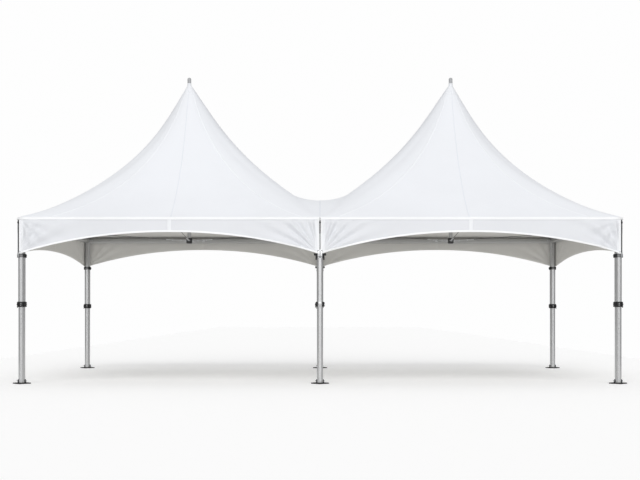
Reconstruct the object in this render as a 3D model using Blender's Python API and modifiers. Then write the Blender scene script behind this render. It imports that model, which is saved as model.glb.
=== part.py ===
"""Two-bay high-peak marquee tent on six telescoping aluminium legs.

Metres, +Z up, front towards -Y. The origin is on the ground at the middle of the plan.
"""
import math

import bpy
import bmesh
from mathutils import Matrix, Vector

# Plan and heights
BAY = 4.572               # post to post, 15 ft, in both directions
FLOOR_TO_BEAM = 2.453     # ground to the underside of the eave beams
PEAK_RISE = 2.55          # eave edge to where the roof's lines would meet at the pole
GAP = 0.0003              # between pieces that touch

# Octagonal aluminium tubes, sizes across the flats
TUBE = 0.100
TUBE_WALL = 0.0025
INNER_TUBE = 0.0935

# Legs
PLATE_SIDE = 0.200
PLATE_THICK = 0.012
EAR_THICK = 0.012
EAR_WIDTH = 0.050
EAR_TOP = 0.066
LOWER_LEG_TOP = 1.70
COLLAR_BOTTOM = 1.175
COLLAR_TOP = 1.257
COLLAR_LIP = 0.010
BAND_THICK = 0.008
JAW_INSET = 0.005         # a clamp's jaw in from the clamp's ends
COLLAR_JAW_REACH = 0.018  # and out beyond the tube's flat
COLLAR_JAW_HALF = 0.034
LEVER_HALF_THICK = 0.005
LEVER_HALF_WIDTH = 0.010
LEVER_STAND_OFF = 0.012
LEVER_DROP = 0.045
LEVER_TOP_INSET = 0.020
CLAMP_BOTTOM = 1.930
CLAMP_TOP = 1.990
CLAMP_JAW_REACH = 0.016
CLAMP_JAW_HALF = 0.026
ARM_HALF = 0.014
ARM_BOTTOM_INSET = 0.012
ARM_TOP_INSET = 0.020

# Head of each post
HEAD_HALF = 0.0502
HEAD_TOP_ABOVE_AXIS = 0.030
TUBE_IN_HEAD = 0.013
SPIGOT = 0.091
SPIGOT_REACH = 0.080
LUG_THICK = 0.012
LUG_HALF_WIDTH = 0.007
ROD_RADIUS = 0.011
ROD_STAND_OFF = 0.014     # rod's axis to the face of a middle post
CORNER_ROD_OFFSET = 0.045 # rod's axis to the post's axis, along X and along Y

# Masts
POLE_RADIUS = 0.0325
POLE_TOP = 5.200
DOME = 0.033              # height of the mast's rounded top
CROWN_RADIUS = 0.090
CROWN_RIM = 0.012
CROWN_SLOPE = 0.020       # height of the crown's sloping top
CROWN_FOOT = 0.050
HUB_HALF = 0.050
HUB_BOTTOM = 2.296
HUB_TOP = 2.392
HUB_FLOOR = 2.312
HUB_CHAMFER = 0.012

# Stays: a cable with a turnbuckle near the hub and a swaged end at the beam
STAY_HEIGHT_AT_HUB = 2.346
CABLE_RADIUS = 0.006
STUD_RADIUS = 0.010
STUD_END = 0.090
TURNBUCKLE_RADIUS = 0.015
TURNBUCKLE_START = 0.110
TURNBUCKLE_END = 0.250
STUD_SHOULDER = 0.280
CABLE_START = 0.300
SWAGE_RADIUS = 0.012
SWAGE_LENGTH = 0.050
SWAGE_TAPER = 0.040

# Fabric
SKIN = 0.006
NECK_TOP = 5.100
NECK_FLARE = 0.002        # the roof's radius where it leaves the neck, beyond the neck's own
CROWN_CLEARANCE = 0.001   # crown's rim to the roof's inner face
PANEL_STAND_OFF = 0.0005
VALANCE_CROWN = 0.218     # depth of the skirt at the middle of each arch
SIDE_VALANCE_CROWN = 0.390
ARCH_POWER = 2.1
SLOT_HALF = 0.0155        # skirt's end to the axis of a middle post
CORNER_PANEL_REACH = 0.028
STEEPNESS = 1.84          # how sharply the roof turns up towards the pole
FULLNESS = 0.10           # how far the roof's upper slopes stand out beyond that
FULLNESS_FADE = 2.5       # and how soon this dies away towards the eave
SADDLE_REACH = 0.50       # how far each bay's slope runs past the middle of the tent
SADDLE_BLEND = 1.15       # how far the two slopes add up where they meet
ROUND_POWER = 2.0         # the roof's level lines are circles near the pole
SQUARE_POWER = 14.0       # and nearly square by the eave
EDGE_BAND = 0.98
EDGE_SQUARING = 8         # how late the level lines turn square
RINGS = 15
RING_SPREAD = 1.6         # crowds the rings towards the pole
SPOKES_PER_SIDE = 12
ARCH_STEPS = 22

# Worked out from the above
OCTAGON = 1.0 / math.cos(math.pi / 8)
HALF_TUBE = TUBE / 2
BEAM_AXIS = FLOOR_TO_BEAM + HALF_TUBE
BEAM_TOP = FLOOR_TO_BEAM + TUBE
HALF_LENGTH = BAY
HALF_DEPTH = BAY / 2
FABRIC_REACH = HALF_TUBE + PANEL_STAND_OFF + SKIN
CHAMFER_EDGE = HALF_TUBE * math.tan(math.pi / 8)

POSTS = {
    "front_left": (-1, -1),
    "front_middle": (0, -1),
    "front_right": (1, -1),
    "back_left": (-1, 1),
    "back_middle": (0, 1),
    "back_right": (1, 1),
}

COLOURS = {
    "galvanised": ((0.10, 0.10, 0.11), 0.55, 0.8),
    "aluminium": ((0.72, 0.73, 0.74), 0.32, 1.0),
    "black": ((0.02, 0.02, 0.022), 0.45, 0.0),
    "steel": ((0.45, 0.46, 0.47), 0.35, 1.0),
    "vinyl": ((0.88, 0.90, 0.93), 0.45, 0.0),
}


def clear_scene():
    for thing in list(bpy.data.objects):
        bpy.data.objects.remove(thing, do_unlink=True)


def new_collection(name):
    collection = bpy.data.collections.new(name)
    bpy.context.scene.collection.children.link(collection)
    return collection


def material(name, finish):
    colour, roughness, metallic = COLOURS[finish]
    made = bpy.data.materials.new(name)
    made.use_nodes = True
    shader = made.node_tree.nodes["Principled BSDF"]
    shader.inputs["Base Color"].default_value = (*colour, 1.0)
    shader.inputs["Roughness"].default_value = roughness
    shader.inputs["Metallic"].default_value = metallic
    return made


def add_object(name, mesh, collection):
    thing = bpy.data.objects.new(name, mesh)
    collection.objects.link(thing)
    return thing


def evaluated_mesh(thing):
    bpy.context.view_layer.update()
    graph = bpy.context.evaluated_depsgraph_get()
    return bpy.data.meshes.new_from_object(thing.evaluated_get(graph))


def box(low, high):
    """A block between two corners, as a construction solid."""
    low = Vector(low)
    high = Vector(high)
    mesh = bpy.data.meshes.new("block")
    shape = bmesh.new()
    bmesh.ops.create_cube(shape, size=1.0)
    size = high - low
    bmesh.ops.scale(shape, vec=size, verts=shape.verts)
    bmesh.ops.translate(shape, vec=(low + high) / 2, verts=shape.verts)
    shape.to_mesh(mesh)
    shape.free()
    return add_object("block", mesh, SHOP)


def turned(profile, steps, flats=False, closed=True):
    """A profile of (radius, height) turned about Z; flats gives the radii across the flats."""
    widen = OCTAGON if flats else 1.0
    mesh = bpy.data.meshes.new("turning")
    points = [(radius * widen, 0.0, height) for radius, height in profile]
    edges = [(i, i + 1) for i in range(len(points) - 1)]
    if closed:
        edges.append((len(points) - 1, 0))
    mesh.from_pydata(points, edges, [])
    thing = add_object("turning", mesh, SHOP)
    screw = thing.modifiers.new("Turn", "SCREW")
    screw.angle = math.tau
    screw.steps = steps
    screw.render_steps = steps
    screw.use_merge_vertices = True
    screw.merge_threshold = 0.0001
    if flats:
        thing.rotation_euler.z = math.pi / steps
    return thing


def tube(across, wall, bottom, top):
    """An eight-sided tube standing on Z."""
    outer = across / 2
    inner = outer - wall
    return turned([(outer, top), (outer, bottom), (inner, bottom), (inner, top)], 8, flats=True)


def ring(bore, outer, bottom, top):
    return turned([(outer, top), (outer, bottom), (bore, bottom), (bore, top)], 8, flats=True)


def bar(across, bottom, top):
    """A solid eight-sided bar standing on Z."""
    half = across / 2
    return turned([(0, top), (half, top), (half, bottom), (0, bottom)], 8, flats=True, closed=False)


def turn_to(thing, direction, start):
    """Swings a piece made along Z so that it runs from start in a direction."""
    swing = Vector((0, 0, 1)).rotation_difference(Vector(direction)).to_matrix().to_4x4()
    bpy.context.view_layer.update()
    thing.matrix_world = Matrix.Translation(start) @ swing @ thing.matrix_world
    return thing


def fuse(pieces):
    """One mesh from construction solids that meet."""
    body = pieces[0]
    for tool in pieces[1:]:
        tool.display_type = "WIRE"
        tool.hide_render = True
        union = body.modifiers.new("Join", "BOOLEAN")
        union.operation = "UNION"
        union.solver = "EXACT"
        union.object = tool
    mesh = evaluated_mesh(body)
    mesh.transform(body.matrix_world)
    for piece in pieces:
        bpy.data.objects.remove(piece, do_unlink=True)
    return mesh


def place(name, mesh, finish, location=(0, 0, 0), smooth_angle=0.5):
    """Puts a finished piece in the tent under its own name and material."""
    thing = add_object(name, mesh, TENT)
    thing.location = location
    if not mesh.materials:
        mesh.materials.append(material(name, finish))
    mesh.shade_smooth()
    mesh.set_sharp_from_angle(angle=smooth_angle)
    return thing


def post_place(post):
    side, end = POSTS[post]
    return Vector((side * HALF_LENGTH, end * HALF_DEPTH, 0))


def rod_offset(post):
    """From the post's axis to the axis of its tension rod."""
    side, end = POSTS[post]
    if side:
        return Vector((side * CORNER_ROD_OFFSET, end * CORNER_ROD_OFFSET, 0))
    return Vector((0, end * (HALF_TUBE + ROD_STAND_OFF), 0))


def outward_block(post, near, far, half_width, bottom, top):
    """A bar that points from a post's axis towards its tension rod."""
    piece = box((near, -half_width, bottom), (far, half_width, top))
    piece.rotation_euler.z = math.atan2(rod_offset(post).y, rod_offset(post).x)
    return piece


def base_plate_mesh():
    plate = box((-PLATE_SIDE / 2, -PLATE_SIDE / 2, 0), (PLATE_SIDE / 2, PLATE_SIDE / 2, PLATE_THICK))
    plate.rotation_euler.z = math.pi / 4
    near = INNER_TUBE / 2 + GAP
    ears = []
    for side in (-1, 1):
        low = min(side * near, side * (near + EAR_THICK))
        ears.append(box((low, -EAR_WIDTH / 2, PLATE_THICK / 2), (low + EAR_THICK, EAR_WIDTH / 2, EAR_TOP)))
    return fuse([plate, *ears])


def collar_mesh(lever_side):
    """Clamp where the lower leg slides into the upper one, with its locking lever."""
    outer = HALF_TUBE + BAND_THICK
    upper_bore = HALF_TUBE + GAP
    lower_bore = INNER_TUBE / 2 + GAP
    step = COLLAR_BOTTOM + COLLAR_LIP
    band = turned([
        (outer, COLLAR_TOP), (outer, COLLAR_BOTTOM), (lower_bore, COLLAR_BOTTOM),
        (lower_bore, step), (upper_bore, step), (upper_bore, COLLAR_TOP),
    ], 8, flats=True)
    jaws = [jaw(side, COLLAR_JAW_REACH, COLLAR_JAW_HALF, COLLAR_BOTTOM, COLLAR_TOP) for side in (-1, 1)]
    lever_x = lever_side * (outer + LEVER_STAND_OFF)
    lever = box(
        (lever_x - LEVER_HALF_THICK, -LEVER_HALF_WIDTH, COLLAR_BOTTOM - LEVER_DROP),
        (lever_x + LEVER_HALF_THICK, LEVER_HALF_WIDTH, COLLAR_TOP - LEVER_TOP_INSET),
    )
    return fuse([band, *jaws, lever])


def jaw(side, reach, half_width, clamp_bottom, clamp_top):
    """The thick jaw of a clamp, on one side of a leg."""
    low_x, high_x = sorted((side * (HALF_TUBE + BAND_THICK / 2), side * (HALF_TUBE + reach)))
    return box(
        (low_x, -half_width, clamp_bottom + JAW_INSET),
        (high_x, half_width, clamp_top - JAW_INSET),
    )


def upper_leg_mesh(post):
    """Upper tube with the cast head that the beams plug onto."""
    side, end = POSTS[post]
    leg = tube(TUBE, TUBE_WALL, COLLAR_BOTTOM + COLLAR_LIP + GAP, FLOOR_TO_BEAM + TUBE_IN_HEAD)
    head = bar(2 * HEAD_HALF, FLOOR_TO_BEAM, BEAM_AXIS + HEAD_TOP_ABOVE_AXIS)
    directions = [(0, -end, 0)]
    directions += [(-side, 0, 0)] if side else [(-1, 0, 0), (1, 0, 0)]
    spigots = []
    for direction in directions:
        spigot = bar(SPIGOT, HEAD_HALF / 2, HEAD_HALF + SPIGOT_REACH)
        spigots.append(turn_to(spigot, direction, (0, 0, BEAM_AXIS)))
    lug_end = rod_offset(post).length + ROD_RADIUS
    lug = outward_block(post, HALF_TUBE / 2, lug_end, LUG_HALF_WIDTH, BEAM_AXIS, BEAM_AXIS + LUG_THICK)
    return fuse([leg, head, *spigots, lug])


def tensioner_mesh(post):
    """Clamp round the post that holds the skirt's tips down, with the rod up to the head."""
    outer = HALF_TUBE + BAND_THICK
    band = ring(HALF_TUBE + GAP, outer, CLAMP_BOTTOM, CLAMP_TOP)
    jaws = [jaw(side, CLAMP_JAW_REACH, CLAMP_JAW_HALF, CLAMP_BOTTOM, CLAMP_TOP) for side in (-1, 1)]
    arm_bottom = CLAMP_BOTTOM + ARM_BOTTOM_INSET
    arm_top = CLAMP_TOP - ARM_TOP_INSET
    arm_end = rod_offset(post).length + ARM_HALF
    arm = outward_block(post, HALF_TUBE + BAND_THICK / 2, arm_end, ARM_HALF, arm_bottom, arm_top)
    bottom = (arm_bottom + arm_top) / 2
    top = BEAM_AXIS - GAP
    rod = turned([(0, top), (ROD_RADIUS, top), (ROD_RADIUS, bottom), (0, bottom)], 8, closed=False)
    rod.location = rod_offset(post)
    return fuse([band, *jaws, arm, rod])


def place_legs():
    plate = base_plate_mesh()
    lower = fuse([tube(INNER_TUBE, TUBE_WALL, PLATE_THICK + GAP, LOWER_LEG_TOP)])
    for post, (side, end) in POSTS.items():
        spot = post_place(post)
        place("base_plate_" + post, plate, "galvanised", spot)
        place("lower_leg_" + post, lower, "aluminium", spot)
        place("leg_collar_" + post, collar_mesh(side or -1), "black", spot)
        place("upper_leg_" + post, upper_leg_mesh(post), "aluminium", spot)
        place("valance_tensioner_" + post, tensioner_mesh(post), "steel", spot)


def beam_mesh(direction):
    length = BAY - 2 * (HEAD_HALF + GAP)
    return fuse([turn_to(tube(TUBE, TUBE_WALL, -length / 2, length / 2), direction, (0, 0, 0))])


def place_beams():
    along = beam_mesh((1, 0, 0))
    across = beam_mesh((0, 1, 0))
    for end_name, end in (("front", -1), ("back", 1)):
        for side_name, side in (("left", -1), ("right", 1)):
            spot = (side * HALF_LENGTH / 2, end * HALF_DEPTH, BEAM_AXIS)
            place("eave_beam_" + end_name + "_" + side_name, along, "aluminium", spot)
    for name, side in (("left", -1), ("middle", 0), ("right", 1)):
        place("eave_beam_" + name, across, "aluminium", (side * HALF_LENGTH, 0, BEAM_AXIS))


def king_pole_mesh():
    """Mast standing in its hub, with the crown that lifts the roof and a domed top."""
    dome = []
    for step in range(4):
        angle = math.pi / 6 * step
        dome.append((POLE_RADIUS * math.sin(angle), POLE_TOP - DOME * (1 - math.cos(angle))))
    crown = [
        (POLE_RADIUS, CROWN_TOP + CROWN_SLOPE), (CROWN_RADIUS, CROWN_TOP),
        (CROWN_RADIUS, CROWN_TOP - CROWN_RIM), (POLE_RADIUS, CROWN_TOP - CROWN_FOOT),
    ]
    foot = [(POLE_RADIUS, HUB_FLOOR + GAP), (0, HUB_FLOOR + GAP)]
    return fuse([turned(dome + crown + foot, 16, closed=False)])


def hub_mesh():
    """Socket for the mast's foot, hung on four stays."""
    bore = POLE_RADIUS + GAP
    profile = [
        (0, HUB_FLOOR), (bore, HUB_FLOOR), (bore, HUB_TOP), (HUB_HALF, HUB_TOP),
        (HUB_HALF, HUB_BOTTOM + HUB_CHAMFER), (HUB_HALF - HUB_CHAMFER, HUB_BOTTOM), (0, HUB_BOTTOM),
    ]
    return fuse([turned(profile, 8, flats=True, closed=False)])


def stay_mesh(direction):
    """Cable with an end fitting at the beam and a turnbuckle at the hub."""
    start = Vector(direction) * (HUB_HALF + GAP)
    end = Vector(direction) * (BAY / 2 - HALF_TUBE - GAP)
    start.z = STAY_HEIGHT_AT_HUB
    end.z = BEAM_AXIS
    run = end - start
    lift = abs(run.z / run.length)
    setback = SWAGE_RADIUS * lift + GAP   # so that the sloping ends clear the upright faces
    length = run.length - 2 * setback
    swage_start = length - SWAGE_LENGTH
    profile = [
        (0, length), (SWAGE_RADIUS, length), (SWAGE_RADIUS, swage_start),
        (CABLE_RADIUS, swage_start - SWAGE_TAPER), (CABLE_RADIUS, CABLE_START),
        (STUD_RADIUS, STUD_SHOULDER), (TURNBUCKLE_RADIUS, TURNBUCKLE_END),
        (TURNBUCKLE_RADIUS, TURNBUCKLE_START), (STUD_RADIUS, STUD_END), (STUD_RADIUS, 0), (0, 0),
    ]
    piece = turned(profile, 8, closed=False)
    return fuse([turn_to(piece, run.normalized(), start + run.normalized() * setback)])


def place_masts():
    pole = king_pole_mesh()
    hub = hub_mesh()
    ways = {"left": (-1, 0, 0), "right": (1, 0, 0), "front": (0, -1, 0), "back": (0, 1, 0)}
    stays = {way: stay_mesh(direction) for way, direction in ways.items()}
    for name, side in (("left", -1), ("right", 1)):
        spot = (side * HALF_LENGTH / 2, 0, 0)
        place("king_pole_" + name, pole, "aluminium", spot)
        place("mast_hub_" + name, hub, "black", spot)
        for way, stay in stays.items():
            place("stay_" + name + "_" + way, stay, "steel", spot)


def slope(share):
    """Height of the roof, 1 at the pole and 0 at the eave, at a share of the way out."""
    share = min(max(share, 0.0), 1.0)
    drop = math.asinh(share * math.sinh(STEEPNESS)) / STEEPNESS
    return 1.0 - drop + FULLNESS * share * (1.0 - share) ** FULLNESS_FADE


def bay_height(inward, depth):
    """One bay's roof above its eave edge; inward is measured from the pole towards the other bay."""
    across = min(abs(depth) / (HALF_DEPTH + FABRIC_REACH), 1.0)
    if inward > 0:
        along = inward / (BAY / 2 + SADDLE_REACH * (1.0 - across ** 2))
    else:
        along = -inward / (BAY / 2 + FABRIC_REACH)
    furthest = max(along, across)
    power = ROUND_POWER + (SQUARE_POWER - ROUND_POWER) * min(furthest, 1.0) ** 2
    rounded = (along ** power + across ** power) ** (1.0 / power)
    squared = min(furthest / EDGE_BAND, 1.0) ** EDGE_SQUARING
    return PEAK_RISE * slope(rounded * (1.0 - squared) + furthest * squared)


def roof_height(x, y):
    """The roof's outer face; the two bays' slopes flow together in a saddle between the masts."""
    left = bay_height(x + HALF_LENGTH / 2, y)
    right = bay_height(HALF_LENGTH / 2 - x, y)
    return EAVE_EDGE + (left ** SADDLE_BLEND + right ** SADDLE_BLEND) ** (1.0 / SADDLE_BLEND)


def bay_outline():
    """Points round the left bay's edge, ending on the middle of the tent on its inner side."""
    low_x = -HALF_LENGTH - FABRIC_REACH
    low_y = -HALF_DEPTH - FABRIC_REACH
    corners = [Vector((low_x, low_y)), Vector((0, low_y)), Vector((0, -low_y)), Vector((low_x, -low_y))]
    points = []
    for start, end in zip(corners, corners[1:] + corners[:1]):
        points += [start.lerp(end, step / SPOKES_PER_SIDE) for step in range(SPOKES_PER_SIDE)]
    return points


def roof_mesh():
    """One sheet: rings that start round at the neck and end square at the eave, mirrored."""
    centre = Vector((-HALF_LENGTH / 2, 0))
    neck = POLE_RADIUS + GAP + SKIN
    outline = bay_outline()
    count = len(outline)
    points = []
    for spoke in outline:
        rim = centre + (spoke - centre).normalized() * neck
        points.append((rim.x, rim.y, NECK_TOP))
    shares = [EDGE_BAND * (number / (RINGS - 1)) ** RING_SPREAD for number in range(RINGS)] + [1.0]
    for share in shares:
        for spoke in outline:
            rim = centre + (spoke - centre).normalized() * (neck + NECK_FLARE)
            spot = rim.lerp(spoke, share)
            points.append((spot.x, spot.y, roof_height(spot.x, spot.y)))
    faces = []
    for number in range(RINGS + 1):
        inner = number * count
        outer = inner + count
        for index in range(count):
            after = (index + 1) % count
            faces.append((inner + index, outer + index, outer + after, inner + after))
    mesh = bpy.data.meshes.new("roof")
    mesh.from_pydata(points, [], faces)
    sheet = add_object("roof", mesh, SHOP)
    mirror = sheet.modifiers.new("Other bay", "MIRROR")
    mirror.use_axis = (True, False, False)
    mirror.merge_threshold = 0.0001
    mirror.use_clip = True
    skin = sheet.modifiers.new("Fabric", "SOLIDIFY")
    skin.thickness = SKIN
    skin.offset = -1.0
    skin.use_even_offset = True
    return fuse([sheet])


def valance_mesh(start, end, crown_depth):
    """A skirt panel along X with an arched lower edge, from start to end."""
    top = EAVE_EDGE - SKIN - GAP
    crown = EAVE_EDGE - crown_depth
    tip = CLAMP_TOP + GAP
    middle = (start + end) / 2
    half = (end - start) / 2
    corners = [(start, top), (end, top)]
    for step in range(ARCH_STEPS + 1):
        share = 1.0 - 2.0 * step / ARCH_STEPS
        corners.append((middle + half * share, crown - (crown - tip) * abs(share) ** ARCH_POWER))
    curve = bpy.data.curves.new("panel", "CURVE")
    curve.dimensions = "2D"
    curve.fill_mode = "BOTH"
    curve.extrude = SKIN / 2
    spline = curve.splines.new("POLY")
    spline.points.add(len(corners) - 1)
    for point, (along, up) in zip(spline.points, corners):
        point.co = (along, up, 0, 1)
    spline.use_cyclic_u = True
    outline = add_object("panel", curve, SHOP)
    mesh = evaluated_mesh(outline)
    bpy.data.objects.remove(outline, do_unlink=True)
    shape = bmesh.new()
    shape.from_mesh(mesh)
    bmesh.ops.remove_doubles(shape, verts=shape.verts, dist=0.0001)
    bmesh.ops.rotate(shape, matrix=Matrix.Rotation(math.pi / 2, 3, "X"), verts=shape.verts)
    bmesh.ops.recalc_face_normals(shape, faces=shape.faces)
    shape.to_mesh(mesh)
    shape.free()
    return mesh


def place_canopy():
    place("roof_canopy", roof_mesh(), "vinyl", smooth_angle=math.pi)
    plane = HALF_DEPTH + HALF_TUBE + PANEL_STAND_OFF + SKIN / 2
    bay_panel = {
        "left": valance_mesh(-HALF_LENGTH - CORNER_PANEL_REACH, -SLOT_HALF, VALANCE_CROWN),
        "right": valance_mesh(SLOT_HALF, HALF_LENGTH + CORNER_PANEL_REACH, VALANCE_CROWN),
    }
    for end_name, end in (("front", -1), ("back", 1)):
        for side_name, panel in bay_panel.items():
            place("valance_" + end_name + "_" + side_name, panel, "vinyl", (0, end * plane, 0))
    reach = HALF_DEPTH + CORNER_PANEL_REACH
    side_panel = valance_mesh(-reach, reach, SIDE_VALANCE_CROWN)
    for name, side in (("left", -1), ("right", 1)):
        skirt = place("valance_" + name, side_panel, "vinyl")
        skirt.rotation_euler.z = math.pi / 2
        skirt.location.x = side * (HALF_LENGTH + HALF_TUBE + PANEL_STAND_OFF + SKIN / 2)


def eave_edge():
    """Height of the roof's outer edge, so that its underside clears the beams by the gap."""
    share = (HALF_DEPTH + CHAMFER_EDGE) / (HALF_DEPTH + FABRIC_REACH)
    run = (1.0 - share) * (HALF_DEPTH + FABRIC_REACH)
    rise = PEAK_RISE * slope(share)
    slant = math.hypot(run, rise) / run
    return BEAM_TOP + GAP + SKIN * slant - rise


def crown_top():
    """Height of the crown's rim, just under the roof's skin."""
    near = BAY / 2 + FABRIC_REACH
    rise = PEAK_RISE * slope(CROWN_RADIUS / near)
    step = 0.01
    fall = (PEAK_RISE * slope((CROWN_RADIUS + step) / near) - rise) / step
    return EAVE_EDGE + rise - SKIN * math.hypot(1.0, fall) - CROWN_CLEARANCE


clear_scene()
TENT = new_collection("marquee_tent")
SHOP = new_collection("construction_solids")
EAVE_EDGE = eave_edge()
CROWN_TOP = crown_top()
place_legs()
place_beams()
place_masts()
place_canopy()
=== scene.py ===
"""Looks of a two-bay marquee tent: fabric, fittings, metal finishes, floor, light and camera."""
import math

import bmesh
import bpy
from mathutils import Matrix, Vector, noise


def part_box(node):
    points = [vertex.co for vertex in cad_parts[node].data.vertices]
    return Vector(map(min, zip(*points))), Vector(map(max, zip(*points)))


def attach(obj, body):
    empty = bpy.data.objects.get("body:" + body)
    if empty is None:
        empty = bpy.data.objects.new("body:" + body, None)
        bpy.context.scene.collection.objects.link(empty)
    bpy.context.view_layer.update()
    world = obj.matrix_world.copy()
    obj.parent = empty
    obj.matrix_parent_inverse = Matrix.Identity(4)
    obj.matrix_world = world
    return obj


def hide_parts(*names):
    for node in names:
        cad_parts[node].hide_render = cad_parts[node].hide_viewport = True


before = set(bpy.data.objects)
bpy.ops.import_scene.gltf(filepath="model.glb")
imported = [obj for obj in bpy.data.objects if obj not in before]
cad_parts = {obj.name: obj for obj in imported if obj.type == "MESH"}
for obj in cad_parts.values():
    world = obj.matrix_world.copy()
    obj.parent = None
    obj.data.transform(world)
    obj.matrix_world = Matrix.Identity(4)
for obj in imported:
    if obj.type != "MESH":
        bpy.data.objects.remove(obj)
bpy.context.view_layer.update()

# Plan and heights, as the frame has them
BAY = 4.572
HALF_LENGTH = BAY
HALF_DEPTH = BAY / 2
BEAM_LOW, BEAM_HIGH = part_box("eave_beam_front_left")
HALF_TUBE = (BEAM_HIGH.z - BEAM_LOW.z) / 2
BEAM_AXIS = BEAM_LOW.z + HALF_TUBE
POSTS = {
    "front_left": (-1, -1),
    "front_middle": (0, -1),
    "front_right": (1, -1),
    "back_left": (-1, 1),
    "back_middle": (0, 1),
    "back_right": (1, 1),
}
QUARTERS = ((1, 0), (-1, 0), (0, 1), (0, -1))

# Ways of making
OCTAGON = 1.0 / math.cos(math.pi / 8)
SHARP_EDGE = 0.5
SHARP_SHADING = 0.6
DRILLED_SHADING = 0.2
UP = (0, 0, 1)
WASHER = 0.0016
WELD_SIDES = 8
PLAY = 0.0003

# Legs and their fittings
INNER_TUBE = 0.0935
TUBE_WALL = 0.0025
TUBE_CORNER = 0.0025
PLATE_SIDE = 0.200
PLATE_THICK = 0.016
EAR_THICK = 0.012
EAR_WIDTH = 0.050
EAR_TOP = 0.066
CROSS_BOLT_HEIGHT = 0.044
LOWER_LEG_TOP = 1.70
HEIGHT_HOLES = 6
HOLE_PITCH = 0.075
COLLAR_BOTTOM = 1.175
COLLAR_TOP = 1.257
BAND_THICK = 0.008
BORE_PLAY = 0.0006
CLAMP_BOTTOM = 1.930
CLAMP_TOP = 1.990
ROD_STAND_OFF = 0.014
CORNER_ROD_OFFSET = 0.045

# Masts
POLE_RADIUS = 0.0325
POLE_TOP = 5.200
POLE_FACETS = 48
CROWN_DROP = 0.0135        # crown's rim below the roof's outer face
PEAK_FLARE = 0.022         # the cone's stretch up towards its neck
FLARE_REACH = 0.60
HUB_HALF = 0.050
HUB_BOTTOM = 2.296
HUB_TOP = 2.392
HUB_FLOOR = 2.312
STAY_HEIGHT_AT_HUB = 2.346
EAR_REACH = HUB_HALF + 0.006

# Fabric
CAD_SKIN = 0.006
FABRIC_REACH = HALF_TUBE + 0.0005 + CAD_SKIN
REACH_X = HALF_LENGTH + FABRIC_REACH
REACH_Y = HALF_DEPTH + FABRIC_REACH
EAVE_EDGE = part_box("valance_front_left")[1].z + CAD_SKIN + PLAY
CLOTH = 0.0012
TAPE = 0.0008
BAND = 0.0010
NECK_TOP = 5.100
PEAK_RISE = 2.55
STEEPNESS = 1.84
FULLNESS = 0.10
FULLNESS_FADE = 2.5
SADDLE_REACH = 0.50
SADDLE_BLEND = 1.15
ROUND_POWER = 2.0
SQUARE_POWER = 14.0
EDGE_BAND = 0.98
EDGE_SQUARING = 8
EAVE_FALL = math.tan(math.radians(29.5))
VALANCE_CROWN = 0.218
SIDE_VALANCE_CROWN = 0.390
ARCH_POWER = 2.1
SLOT_HALF = 0.0155
CORNER_PANEL_REACH = 0.028
PANEL_STAND_OFF = HALF_TUBE + 0.0035
BAND_DROP = 0.028         # the eave band's fall over the edge
BAND_STEPS = 60
SPOKES_PER_SIDE = 44
RINGS = 72
NECK = POLE_RADIUS + 0.0063
NECK_SEAM = 0.120
NECK_SEAM_STEPS = 48
SEAM_START = NECK + 0.030
SEAM_END_GAP = 0.03
SEAM_SHARES = [(step / 90) ** 1.3 for step in range(91)]
TAPE_PROFILE = ((-1, 0.0003), (-0.6, 0.0013), (0, 0.0014), (0.6, 0.0013), (1, 0.0003))
NECK_TAPE_PROFILE = ((-0.005, 0.0004), (0, 0.0018), (0.005, 0.0004))
HEM = 0.026
END_HEM = 0.060
EDGE_BINDING = 0.014
CENTRE_STRIP = 0.056
DOUBLING = 0.0011         # how far a hem or strip stands off its panel
HEM_RAMP = 0.0012         # half the width of the step at its edge
SKIRT_STATIONS = 190
SKIRT_ROWS = 34

# Folds of the roof: height, and their number and reach
MIDDLE_RISE = 0.0070
MIDDLE_FOLDS = (5, 1.3)
EAVE_CORNER_RISE = 0.0045
EAVE_CORNER_FOLDS = (4, 1.1)
PEAK_PULLS = 0.009

# Folds at a skirt's end: height from the lower tip, number, height from the upper corner
CORNER_FOLDS = (0.080, 3.0, 0.030)
POST_FOLDS = (0.057, 6.0, 0.010)
SLACK_FOLDS = (0.010, 5.0, 0.006)
TIP_FOLD_REACH = 1.35
UPPER_FOLDS = (3.5, 0.9)  # number and reach
BILLOW = 0.0030

# Floor's half width, front edge and back edge
FLOOR_REACH = (7.5, -14.0, 60.0)

# Camera, fitted to the posts in the photograph
CAMERA_TO_FRONT = 16.21
CAMERA_HEIGHT = 1.09
SENSOR = 36.0
LENS = 59.45
HORIZON_SHIFT = 0.1134

# Light
OVERHEAD = 0.50
BEHIND = 0.58
FRONT_STRIP = 0.54
SIDE_STRIPS = 0.30
ALL_ROUND = 0.12
BACKDROP_WHITE = (0.99, 0.99, 0.99, 1.0)
FRONT_LIGHT = 1.98
FRONT_LIGHT_WIDTH = math.radians(64)
FRONT_LIGHT_TILT = math.radians(55)
FLOOR_WHITE = (0.88, 0.88, 0.88, 1.0)
FLOOR_GLOW = 0.205


class Wire:
    """A socket of a finish, so that shader maths reads as Python expressions."""

    def __init__(self, finish, socket):
        self.finish = finish
        self.socket = socket

    def math(self, operation, *values):
        return self.finish.node("Math", {"operation": operation}, dict(enumerate(values)))

    def __add__(self, other):
        return self.math("ADD", self, other)

    def __radd__(self, other):
        return self.math("ADD", other, self)

    def __sub__(self, other):
        return self.math("SUBTRACT", self, other)

    def __rsub__(self, other):
        return self.math("SUBTRACT", other, self)

    def __mul__(self, other):
        return self.math("MULTIPLY", self, other)

    def __rmul__(self, other):
        return self.math("MULTIPLY", other, self)


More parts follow.
